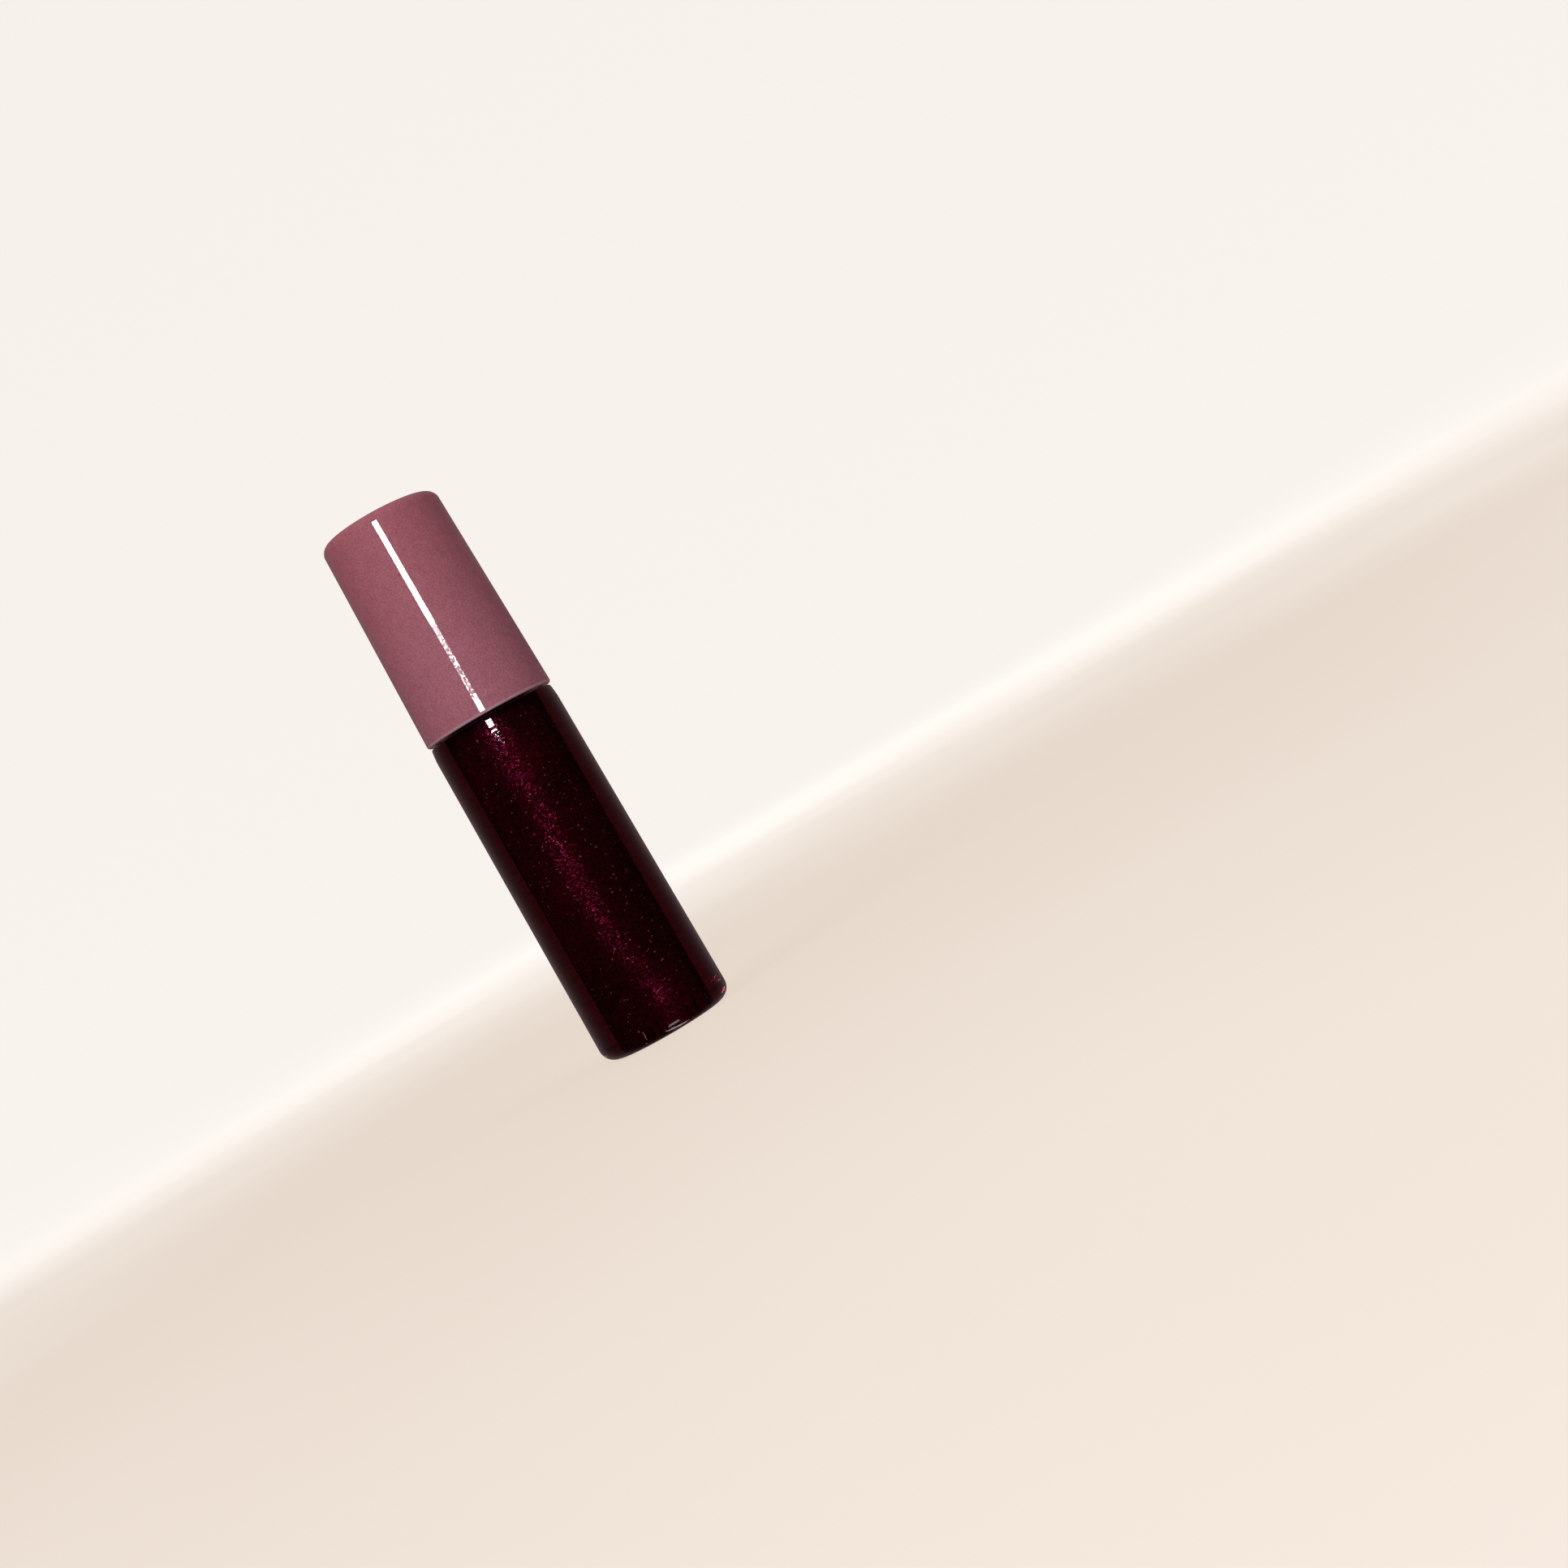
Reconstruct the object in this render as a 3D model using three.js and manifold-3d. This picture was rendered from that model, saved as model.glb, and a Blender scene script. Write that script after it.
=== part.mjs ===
// Lip gloss tube: a heavy-walled clear tube that holds the gloss and a wiper, closed by a screw cap
// with an inner threaded liner, a slip washer and a wand with a flocked slanted tip.
// Millimetres, +Z up. The origin is the centre of the foot, and every piece turns about the Z axis.

import * as THREE from 'three';
import { mergeVertices } from 'three/addons/utils/BufferGeometryUtils.js';
import Module from 'manifold-3d';

const wasm = await Module();
wasm.setup();

// ---- driving dimensions ----

const HEIGHT = 81; // foot to crown of the cap, closed
const CAP_LENGTH = 31.3; // rim to crown
const CAP_RIM_RADIUS = 9.62;
const CAP_TOP_RADIUS = 8.86; // where the drafted side meets the rounded top edge
const TUBE_FOOT_RADIUS = 9.94;
const TUBE_SHOULDER_RADIUS = 9.49;
const CAVITY_RADIUS = 4.56; // one straight bore, from the floor to the rim of the neck
const CAVITY_FLOOR = 1.0;
const CAVITY_FLOOR_FILLET = 0.9;
const NECK_HEIGHT = 12;
const NECK_RADIUS = 5.7;

const REST_GAP = 0.3; // between pieces that meet end to end
const PRESS_GAP = 0.1; // around pieces that are pressed into one another
const THREAD_PITCH = 3;
const THREAD_TURNS = 1.25;
const THREAD_HEIGHT = 0.5;
const THREAD_CLEARANCE = 0.15; // between the crests of the two threads
const THREAD_BEAD = 0.55; // radius of the round bead that each thread is made of

const ROUND_SEGMENTS = 48;
const STEM_SEGMENTS = 32;
const THREAD_STEPS_PER_TURN = 40;

// ---- heights and radii that follow from them ----

const CAP_RIM = HEIGHT - CAP_LENGTH;
const SHOULDER = CAP_RIM - REST_GAP;
const NECK_TOP = SHOULDER + NECK_HEIGHT;
const THREAD_FOOT = SHOULDER + 5;

const WIPER_FLANGE_BOTTOM = NECK_TOP + PRESS_GAP;
const WIPER_FLANGE_TOP = WIPER_FLANGE_BOTTOM + 0.7;
const WIPER_RADIUS = CAVITY_RADIUS - PRESS_GAP;
const WIPER_MOUTH_RADIUS = 2.3;
const WIPER_LIP = NECK_TOP - 9.5;

const WASHER_BOTTOM = WIPER_FLANGE_TOP + 0.2;
const WASHER_TOP = WASHER_BOTTOM + 0.8;
const LINER_PLATE_BOTTOM = WASHER_TOP + 0.2;
const LINER_PLATE_TOP = LINER_PLATE_BOTTOM + 1.3;
const LINER_SOCKET_TOP = LINER_PLATE_TOP + 9;
const LINER_THREAD_RADIUS = NECK_RADIUS + THREAD_HEIGHT + THREAD_CLEARANCE + THREAD_HEIGHT;
const LINER_WALL = 0.8;

const STEM_RADIUS = 1.9;
const STEM_FOOT = 17;
const STEM_PLUG_RADIUS = 2.6;
const TIP_BOTTOM = 5.4;
const FLOCK_RADIUS = 2.15;
const FLOCK_THICKNESS = 0.45;
const SLANT_OFFSET = 0.35; // from the wand's axis to the slanted face, 3 mm above the tip
const GLOSS_LEVEL = WIPER_LIP - 0.6;
const GLOSS_CORE_RADIUS = 2.5; // the wand's own path down the gloss

// ---- geometry helpers ----

/** Points [radius, height] on an arc about the point (r, z), from one angle to another in degrees. */
function arc(r, z, size, from, to, steps) {
  const points = [];
  for (let i = 0; i <= steps; i += 1) {
    const angle = THREE.MathUtils.degToRad(from + ((to - from) * i) / steps);
    points.push([r + size * Math.cos(angle), z + size * Math.sin(angle)]);
  }
  return points;
}

/** A closed three.js geometry as a solid: shared vertices merged, faces pointing out. */
function toSolid(geometry) {
  const plain = geometry.clone();
  plain.deleteAttribute('normal');
  plain.deleteAttribute('uv');
  const merged = mergeVertices(plain, 1e-5);
  const triangles = Uint32Array.from(merged.index.array);
  const corners = merged.attributes.position.array;
  const make = (triVerts) =>
    new wasm.Manifold(new wasm.Mesh({ numProp: 3, vertProperties: Float32Array.from(corners), triVerts }));
  const solid = make(triangles);
  if (solid.volume() > 0) return solid;
  return make(triangles.reverse());
}

/** A solid back as a three.js geometry. */
function toGeometry(solid) {
  const mesh = solid.getMesh();
  const geometry = new THREE.BufferGeometry();
  geometry.setAttribute('position', new THREE.BufferAttribute(mesh.vertProperties, 3));
  geometry.setIndex(new THREE.BufferAttribute(mesh.triVerts, 1));
  geometry.computeVertexNormals();
  return geometry;
}

/** A solid turned about Z from [radius, height] points. A profile that starts off the axis closes on itself. */
function turned(profile, segments) {
  const points = profile.map(([r, z]) => new THREE.Vector2(r, z));
  const startsOnAxis = profile[0][0] === 0;
  if (!startsOnAxis) points.push(points[0].clone());
  return toSolid(new THREE.LatheGeometry(points, segments).rotateX(Math.PI / 2));
}

/** A box solid of the given size, turned about Y and then moved. */
function block(size, tilt, place) {
  const geometry = new THREE.BoxGeometry(...size).rotateY(tilt);
  return toSolid(geometry.translate(...place));
}

/** The centre line of a thread: a helix whose two ends sink into the wall that carries it. */
class ThreadLine extends THREE.Curve {
  constructor(radius, foot, sink) {
    super();
    this.radius = radius;
    this.foot = foot;
    this.sink = sink;
  }

  getPoint(t, target = new THREE.Vector3()) {
    const runOut = 0.08;
    const fade = Math.max(0, 1 - Math.min(t, 1 - t) / runOut);
    const radius = this.radius + this.sink * fade;
    const angle = 2 * Math.PI * THREAD_TURNS * t;
    const height = this.foot + THREAD_PITCH * THREAD_TURNS * t;
    return target.set(radius * Math.cos(angle), radius * Math.sin(angle), height);
  }
}

/** A round-crested thread as a solid bead along its centre line. */
function threadBead(radius, foot, sink) {
  const section = new THREE.Shape().absarc(0, 0, THREAD_BEAD, 0, 2 * Math.PI, false);
  const geometry = new THREE.ExtrudeGeometry(section, {
    extrudePath: new ThreadLine(radius, foot, sink),
    steps: Math.round(THREAD_TURNS * THREAD_STEPS_PER_TURN),
    curveSegments: 5,
    bevelEnabled: false,
  });
  return toSolid(geometry);
}

// ---- the tube and what it holds ----

/** Clear tube: rounded foot with a shallow recess, drafted side, shoulder and threaded neck. */
function tubeBody() {
  const footFillet = 2.1;
  const shoulderFillet = 0.35;
  const recessRadius = 5.6;
  const recessDepth = 0.45;
  const floorFillet = CAVITY_FLOOR_FILLET;
  const profile = [
    [0, recessDepth],
    [recessRadius - 0.5, recessDepth],
    [recessRadius, 0],
    ...arc(TUBE_FOOT_RADIUS - footFillet, footFillet, footFillet, -90, 0, 6),
    ...arc(TUBE_SHOULDER_RADIUS - shoulderFillet, SHOULDER - shoulderFillet, shoulderFillet, 0, 90, 4),
    [NECK_RADIUS + 0.3, SHOULDER],
    [NECK_RADIUS, SHOULDER + 0.3],
    [NECK_RADIUS, NECK_TOP - 0.3],
    [NECK_RADIUS - 0.3, NECK_TOP],
    [CAVITY_RADIUS + 0.2, NECK_TOP],
    [CAVITY_RADIUS, NECK_TOP - 0.2],
    ...arc(CAVITY_RADIUS - floorFillet, CAVITY_FLOOR + floorFillet, floorFillet, 0, -90, 6),
    [0, CAVITY_FLOOR],
  ];
  const beadLine = NECK_RADIUS + THREAD_HEIGHT - THREAD_BEAD;
  const thread = threadBead(beadLine, THREAD_FOOT, -THREAD_HEIGHT - 0.05);
  return turned(profile, ROUND_SEGMENTS).add(thread);
}

/** The gloss: it fills the bore up to the wiper, round the path that the wand has opened in it. */
function glossFill() {
  const outer = CAVITY_RADIUS - PRESS_GAP;
  const fillet = CAVITY_FLOOR_FILLET;
  const floor = CAVITY_FLOOR + PRESS_GAP;
  const pathBottom = TIP_BOTTOM - 0.6;
  return turned(
    [
      [0, floor],
      ...arc(outer - fillet, floor + fillet, fillet, -90, 0, 6),
      [outer, GLOSS_LEVEL],
      [GLOSS_CORE_RADIUS, GLOSS_LEVEL],
      [GLOSS_CORE_RADIUS, pathBottom + 0.6],
      [GLOSS_CORE_RADIUS - 0.6, pathBottom],
      [0, pathBottom],
    ],
    ROUND_SEGMENTS,
  );
}

/** Wiper: a flange on the neck's rim, a sleeve in the bore, and a cone down to the lip round the stem. */
function wiper() {
  const wall = 0.7;
  const coneTop = WIPER_LIP + 3.2;
  return turned(
    [
      [WIPER_MOUTH_RADIUS, WIPER_LIP],
      [WIPER_MOUTH_RADIUS + 0.5, WIPER_LIP],
      [WIPER_RADIUS, coneTop],
      [WIPER_RADIUS, WIPER_FLANGE_BOTTOM],
      [NECK_RADIUS - 0.2, WIPER_FLANGE_BOTTOM],
      [NECK_RADIUS - 0.2, WIPER_FLANGE_TOP],
      [WIPER_RADIUS - wall + 0.3, WIPER_FLANGE_TOP],
      [WIPER_RADIUS - wall, WIPER_FLANGE_TOP - 0.4],
      [WIPER_RADIUS - wall, coneTop + 0.5],
      [WIPER_MOUTH_RADIUS, WIPER_LIP + 0.7],
    ],
    ROUND_SEGMENTS,
  );
}

// ---- the cap and what turns with it ----

/** Cap shell: drafted side, rounded top edge, slightly crowned top, and a ledge inside that stops the liner. */
function capShell() {
  const wall = 1.05;
  const crown = 0.3;
  const edge = 1.5;
  const rimRadius = 0.4;
  const topEdge = HEIGHT - crown;
  const slope = (CAP_RIM_RADIUS - CAP_TOP_RADIUS) / (topEdge - edge - CAP_RIM);
  const outerAt = (z) => CAP_RIM_RADIUS - slope * (z - CAP_RIM);
  const ledge = LINER_PLATE_TOP + PRESS_GAP;
  const ceiling = topEdge - 1.3;
  const crownRadius = CAP_TOP_RADIUS - edge;
  const crownPoints = [];
  for (let i = 3; i >= 0; i -= 1) {
    const share = i / 4;
    crownPoints.push([crownRadius * share, topEdge + crown * (1 - share * share)]);
  }
  return turned(
    [
      [0, ceiling],
      [outerAt(ceiling) - wall - 1.2, ceiling],
      [outerAt(ceiling - 0.8) - wall - 0.7, ceiling - 0.8],
      [outerAt(ledge) - wall - 0.7, ledge],
      [outerAt(ledge) - wall, ledge],
      [CAP_RIM_RADIUS - wall, CAP_RIM + rimRadius],
      [CAP_RIM_RADIUS - wall + rimRadius, CAP_RIM],
      ...arc(CAP_RIM_RADIUS - rimRadius, CAP_RIM + rimRadius, rimRadius, -90, 0, 3),
      ...arc(CAP_TOP_RADIUS - edge, topEdge - edge, edge, 0, 90, 6),
      ...crownPoints,
    ],
    ROUND_SEGMENTS,
  );
}

/** Threaded liner inside the cap: skirt, foot ring, gripping ribs, plate, and the wand's socket. */
function innerCap() {
  const bottom = CAP_RIM + 0.35;
  const skirtOuter = LINER_THREAD_RADIUS + LINER_WALL;
  const footRing = 8.4;
  const socketRadius = STEM_PLUG_RADIUS + PRESS_GAP;
  const socketOuter = socketRadius + 1.1;
  const shape = turned(
    [
      [0, LINER_SOCKET_TOP - 1],
      [socketRadius, LINER_SOCKET_TOP - 1],
      [socketRadius, LINER_PLATE_BOTTOM],
      [LINER_THREAD_RADIUS, LINER_PLATE_BOTTOM],
      [LINER_THREAD_RADIUS, bottom + 0.3],
      [LINER_THREAD_RADIUS + 0.3, bottom],
      [footRing, bottom],
      [footRing, bottom + 0.8],
      [skirtOuter, bottom + 0.8],
      [skirtOuter, LINER_PLATE_TOP],
      [socketOuter, LINER_PLATE_TOP],
      [socketOuter, LINER_SOCKET_TOP],
      [0, LINER_SOCKET_TOP],
    ],
    ROUND_SEGMENTS,
  );
  const beadLine = LINER_THREAD_RADIUS - THREAD_HEIGHT + THREAD_BEAD;
  const thread = threadBead(beadLine, THREAD_FOOT + THREAD_PITCH / 2, THREAD_HEIGHT + 0.05);
  let solid = shape.add(thread);
  const ribCount = 12;
  const ribDepth = 0.5;
  const ribHeight = LINER_PLATE_TOP - bottom - 1.2;
  for (let i = 0; i < ribCount; i += 1) {
    const angle = (2 * Math.PI * i) / ribCount;
    const rib = new THREE.BoxGeometry(ribDepth, 0.8, ribHeight)
      .translate(skirtOuter + ribDepth / 2 - 0.15, 0, bottom + 0.7 + ribHeight / 2)
      .rotateZ(angle);
    solid = solid.add(toSolid(rib));
  }
  return solid;
}

/** Slip washer between the liner's plate and the wiper's flange. */
function sealWasher() {
  const inner = 4.15;
  const outer = LINER_THREAD_RADIUS - 0.25;
  return turned(
    [
      [inner, WASHER_BOTTOM],
      [outer, WASHER_BOTTOM],
      [outer, WASHER_TOP],
      [inner, WASHER_TOP],
    ],
    ROUND_SEGMENTS,
  );
}

/** Wand stem: a rod with a sealing disc, a barbed plug pressed into the liner, and a bored foot. */
function wandStem() {
  const discRadius = 3.85;
  const plugTop = LINER_SOCKET_TOP - 1.4;
  const boreRadius = 1.1;
  const boreDepth = 5;
  const barbs = [];
  const barbCount = 3;
  const barbPitch = 1.8;
  for (let i = 0; i < barbCount; i += 1) {
    const foot = LINER_PLATE_BOTTOM + 1.4 + i * barbPitch;
    const root = STEM_PLUG_RADIUS - 0.3;
    barbs.push([root, foot], [STEM_PLUG_RADIUS, foot + 0.2], [root, foot + 1.2]);
  }
  return turned(
    [
      [0, STEM_FOOT + boreDepth],
      [boreRadius, STEM_FOOT + boreDepth],
      [boreRadius, STEM_FOOT],
      [STEM_RADIUS - 0.2, STEM_FOOT],
      [STEM_RADIUS, STEM_FOOT + 0.4],
      [STEM_RADIUS, WASHER_BOTTOM],
      [discRadius, WASHER_BOTTOM],
      [discRadius, WASHER_TOP],
      [STEM_PLUG_RADIUS - 0.3, WASHER_TOP],
      ...barbs,
      [STEM_PLUG_RADIUS - 0.8, plugTop],
      [0, plugTop],
    ],
    STEM_SEGMENTS,
  );
}

/** What a slanted cut takes off the wand's tip. Its face passes offset from the axis, 3 mm above the tip. */
function slantCutter(offset) {
  const tilt = THREE.MathUtils.degToRad(16);
  const size = [4, 8, 24];
  return block(size, tilt, [offset + size[0] / 2, 0, TIP_BOTTOM + 3]);
}

/** Applicator core: a slanted paddle with a pin that is pressed into the stem. */
function applicatorCore() {
  const pinRadius = 1.0;
  const coreRadius = FLOCK_RADIUS - FLOCK_THICKNESS - 0.05;
  const bottom = TIP_BOTTOM + FLOCK_THICKNESS + 0.05;
  const shape = turned(
    [
      [0, bottom],
      ...arc(coreRadius - 1.2, bottom + 1.2, 1.2, -90, 0, 4),
      [coreRadius, STEM_FOOT - REST_GAP],
      [pinRadius, STEM_FOOT - REST_GAP],
      [pinRadius, STEM_FOOT + 4.4],
      [0, STEM_FOOT + 4.4],
    ],
    STEM_SEGMENTS,
  );
  return shape.subtract(slantCutter(SLANT_OFFSET - FLOCK_THICKNESS - 0.05));
}

/** Flock sleeve: the fibre coat on the core, with the same slanted face. */
function applicatorFlock() {
  const inner = FLOCK_RADIUS - FLOCK_THICKNESS;
  const top = STEM_FOOT - 1.2;
  const coat = turned(
    [
      [0, TIP_BOTTOM],
      ...arc(FLOCK_RADIUS - 1.4, TIP_BOTTOM + 1.4, 1.4, -90, 0, 5),
      [FLOCK_RADIUS, top - 0.3],
      [FLOCK_RADIUS - 0.3, top],
      [0, top],
    ],
    STEM_SEGMENTS,
  ).subtract(slantCutter(SLANT_OFFSET));
  const room = turned(
    [
      [0, TIP_BOTTOM + FLOCK_THICKNESS],
      ...arc(inner - 1.2, TIP_BOTTOM + FLOCK_THICKNESS + 1.2, 1.2, -90, 0, 4),
      [inner, top + 1],
      [0, top + 1],
    ],
    STEM_SEGMENTS,
  ).subtract(slantCutter(SLANT_OFFSET - FLOCK_THICKNESS));
  return coat.subtract(room);
}

// ---- assembly ----

/** A named mesh with a material of its own. */
function piece(name, solid, look) {
  const mesh = new THREE.Mesh(toGeometry(solid), new THREE.MeshStandardMaterial(look));
  mesh.name = name;
  return mesh;
}

const tube = new THREE.Group();
tube.add(
  piece('tube_body', tubeBody(), {
    color: 0x4a2022,
    roughness: 0.05,
    metalness: 0,
    transparent: true,
    opacity: 0.4,
  }),
  piece('gloss_fill', glossFill(), { color: 0x24020a, roughness: 0.35, metalness: 0.1 }),
  piece('wiper', wiper(), { color: 0xd9d6d0, roughness: 0.55, metalness: 0 }),
);

const wand = new THREE.Group();
wand.add(
  piece('wand_stem', wandStem(), { color: 0x1b1719, roughness: 0.4, metalness: 0 }),
  piece('applicator_core', applicatorCore(), { color: 0xcfc9c2, roughness: 0.5, metalness: 0 }),
  piece('applicator_flock', applicatorFlock(), { color: 0x5a1a2c, roughness: 0.95, metalness: 0 }),
);

const cap = new THREE.Group();
cap.add(
  piece('cap_shell', capShell(), { color: 0x915766, roughness: 0.35, metalness: 0 }),
  piece('inner_cap', innerCap(), { color: 0x8a5561, roughness: 0.5, metalness: 0 }),
  piece('seal_washer', sealWasher(), { color: 0xe8e4dc, roughness: 0.8, metalness: 0 }),
  wand,
);

const lipGlossTube = new THREE.Group();
lipGlossTube.add(tube, cap);

export default lipGlossTube;
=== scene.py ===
"""Looks of a lip gloss tube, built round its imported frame: clear tube, pearly gloss, wiper, cap and wand."""

import logging
import math
import random
from dataclasses import dataclass
from enum import Enum
from typing import Callable, Sequence

import bmesh
import bpy
from mathutils import Matrix, Quaternion, Vector


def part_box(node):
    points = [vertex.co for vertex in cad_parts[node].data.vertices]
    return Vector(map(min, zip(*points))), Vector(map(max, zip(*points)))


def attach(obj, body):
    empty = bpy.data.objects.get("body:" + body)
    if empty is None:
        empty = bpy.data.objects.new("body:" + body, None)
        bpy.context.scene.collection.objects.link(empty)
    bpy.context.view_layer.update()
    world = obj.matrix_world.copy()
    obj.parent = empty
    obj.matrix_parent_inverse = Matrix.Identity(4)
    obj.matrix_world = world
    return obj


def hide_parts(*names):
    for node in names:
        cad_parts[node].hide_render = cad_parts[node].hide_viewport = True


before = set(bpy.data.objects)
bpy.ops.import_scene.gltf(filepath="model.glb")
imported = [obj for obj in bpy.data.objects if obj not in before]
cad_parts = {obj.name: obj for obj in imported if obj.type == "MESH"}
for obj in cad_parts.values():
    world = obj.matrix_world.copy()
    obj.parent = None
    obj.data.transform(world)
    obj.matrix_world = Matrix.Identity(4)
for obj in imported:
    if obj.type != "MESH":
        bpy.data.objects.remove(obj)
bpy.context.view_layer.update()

log = logging.getLogger("gloss_tube")

MM = 0.001
FINE = 192  # divisions round the pieces that are seen closest
PLAIN = 96  # divisions round the smaller ones
SEED = 7
SHARP_ANGLE = math.radians(32)  # edges that turn more than this stay sharp
NEAR = 1e-6  # how far a corner may lie from a ring and still count as on it

NECK_LENGTH = 12 * MM  # the tube's neck above its shoulder
SOCKET_LENGTH = 9 * MM  # the liner's socket above its plate
THREAD_BEAD = 0.55 * MM  # radius of the round bead that both threads are made of
THREAD_HEIGHT = 0.5 * MM  # how far its crest stands out of the wall


class Body(Enum):
    """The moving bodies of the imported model."""

    TUBE = "tube"
    WASHER = "washer"
    CAP = "cap"


class Slot(Enum):
    """The record's material slots."""

    CLEAR = "clear_plastic"
    GLOSS = "gloss"
    SOFT = "soft_plastic"
    WASHER = "washer_foam"
    MAUVE = "mauve_plastic"
    LINER = "liner_plastic"
    STEM = "stem_plastic"
    FLOCK = "flock"


# ---------------------------------------------------------------- shader arithmetic


class Wire:
    """A value on its way through a material's nodes, written like a number in sums."""

    def __init__(self, sheet: "Sheet", socket: bpy.types.NodeSocket) -> None:
        """Wraps one output socket of a node on the sheet."""
        self.sheet = sheet
        self.socket = socket

    def __add__(self, other: "Value") -> "Wire":
        """self + other."""
        return self.sheet.math("ADD", self, other)

    def __radd__(self, other: "Value") -> "Wire":
        """other + self."""
        return self.sheet.math("ADD", other, self)

    def __sub__(self, other: "Value") -> "Wire":
        """self - other."""
        return self.sheet.math("SUBTRACT", self, other)

    def __rsub__(self, other: "Value") -> "Wire":
        """other - self."""
        return self.sheet.math("SUBTRACT", other, self)

    def __mul__(self, other: "Value") -> "Wire":
        """self * other."""
        return self.sheet.math("MULTIPLY", self, other)

    def __rmul__(self, other: "Value") -> "Wire":
        """other * self."""
        return self.sheet.math("MULTIPLY", other, self)

    def __truediv__(self, other: "Value") -> "Wire":
        """self / other."""
        return self.sheet.math("DIVIDE", self, other)

    def __pow__(self, other: "Value") -> "Wire":
        """self raised to the power other."""
        return self.sheet.math("POWER", self, other)

    def above(self, edge: float, blur: float) -> "Wire":
        """0 below edge, 1 above edge + blur, and a smooth step between."""
        node = self.sheet.node(
            "ShaderNodeMapRange",
            {"interpolation_type": "SMOOTHSTEP"},
            {"Value": self, "From Min": edge, "From Max": edge + blur},
        )
        return Wire(self.sheet, node.outputs["Result"])


Value = Wire | float | int
Triple = tuple[float, float, float]
Colour = Triple


class Sheet:
    """A node tree that sums and patterns are written on."""

    def __init__(self, tree: bpy.types.NodeTree) -> None:
        """Takes the tree over, with its place input ready."""
        self.tree = tree
        self.spot = tree.nodes.new("ShaderNodeTexCoord")
        self.place = Wire(self, self.spot.outputs["Object"])

    def node(
        self, kind: str, settings: dict[str, object], sockets: dict[str | int, object],
    ) -> bpy.types.Node:
        """Adds one node: its options first, then a value or a wire for each input, by name or number."""
        made = self.tree.nodes.new(kind)
        for option, choice in settings.items():
            setattr(made, option, choice)
        for socket, value in sockets.items():
            self.feed(made.inputs[socket], value)
        return made

    def feed(self, socket: bpy.types.NodeSocket, value: object) -> None:
        """Links a wire to an input, or sets the input's own value."""
        if isinstance(value, Wire):
            self.tree.links.new(value.socket, socket)
        elif isinstance(value, tuple) and len(value) == 3 and len(socket.default_value) == 4:
            socket.default_value = (*value, 1.0)
        else:
            socket.default_value = value

    def math(self, operation: str, a: Value, b: Value) -> Wire:
        """One Math node on two values."""
        return Wire(self, self.node("ShaderNodeMath", {"operation": operation}, {0: a, 1: b}).outputs[0])

    def vector(self, operation: str, a: object, b: object) -> Wire:
        """One Vector Math node on two vectors."""
        node = self.node("ShaderNodeVectorMath", {"operation": operation}, {0: a, 1: b})
        return Wire(self, node.outputs["Vector"])

    def scaled(self, vector: Wire, size: Value) -> Wire:
        """A vector times a number."""
        node = self.node("ShaderNodeVectorMath", {"operation": "SCALE"}, {0: vector, "Scale": size})
        return Wire(self, node.outputs["Vector"])

    def stretched(self, scale: Triple) -> Wire:
        """The place on the piece, with each axis scaled by its own number."""
        node = self.node("ShaderNodeMapping", {}, {"Vector": self.place, "Scale": scale})
        return Wire(self, node.outputs["Vector"])

    def noise(self, size: float, detail: float = 2.0, rough: float = 0.5, at: Wire | None = None) -> Wire:
        """Cloudy noise from 0 to 1, with features of that size in metres and finer layers within them."""
        sockets = {"Vector": at or self.place, "Scale": 1 / size, "Detail": detail, "Roughness": rough}
        return Wire(self, self.node("ShaderNodeTexNoise", {}, sockets).outputs["Fac"])

    def cells(self, size: float) -> tuple[Wire, Wire]:
        """Random cells: the distance from a cell's middle, in cells, and a colour for each cell."""
        node = self.node("ShaderNodeTexVoronoi", {}, {"Vector": self.place, "Scale": 1 / size})
        return Wire(self, node.outputs["Distance"]), Wire(self, node.outputs["Color"])

    def ramp(self, share: Wire, stops: Sequence[tuple[float, Colour]]) -> Wire:
        """A colour that runs through the given stops as share goes from 0 to 1."""
        node = self.node("ShaderNodeValToRGB", {}, {})
        band = node.color_ramp
        band.interpolation = "EASE"
        while len(band.elements) < len(stops):
            band.elements.new(0.5)
        for element, (at, colour) in zip(band.elements, stops):
            element.position = at
            element.color = (*colour, 1.0)
        self.feed(node.inputs["Fac"], share)
        return Wire(self, node.outputs["Color"])

    def channel(self, colour: Wire, index: int) -> Wire:
        """One channel of a colour or vector."""
        return Wire(self, self.node("ShaderNodeSeparateXYZ", {}, {0: colour}).outputs[index])

    def blend(self, share: Value, a: object, b: object) -> Wire:
        """Colour a where share is 0, and b where it is 1."""
        node = self.node("ShaderNodeMix", {"data_type": "RGBA"}, {0: share, 6: a, 7: b})
        return Wire(self, node.outputs[2])

    def bump(self, height: Wire, depth: float) -> Wire:
        """A surface normal raised by height times depth, in metres."""
        sockets = {"Height": height, "Distance": depth, "Strength": 1.0}
        return Wire(self, self.node("ShaderNodeBump", {}, sockets).outputs["Normal"])

    def surface_normal(self) -> Wire:
        """The surface's own normal."""
        return Wire(self, self.node("ShaderNodeNewGeometry", {}, {}).outputs["Normal"])


class Finish(Sheet):
    """The node tree of one material, with one Principled shader."""

    def __init__(self, name: str) -> None:
        """Starts a material of that name."""
        self.material = bpy.data.materials.new(name)
        self.material.use_nodes = True
        super().__init__(self.material.node_tree)
        self.shader = self.tree.nodes["Principled BSDF"]

    def finish(self, **sockets: object) -> bpy.types.Material:
        """Sets the shader's inputs, with underscores for spaces, and hands the material over."""
        for name, value in sockets.items():
            self.feed(self.shader.inputs[name.replace("_", " ")], value)
        return self.material


# ---------------------------------------------------------------- finishes


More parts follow.
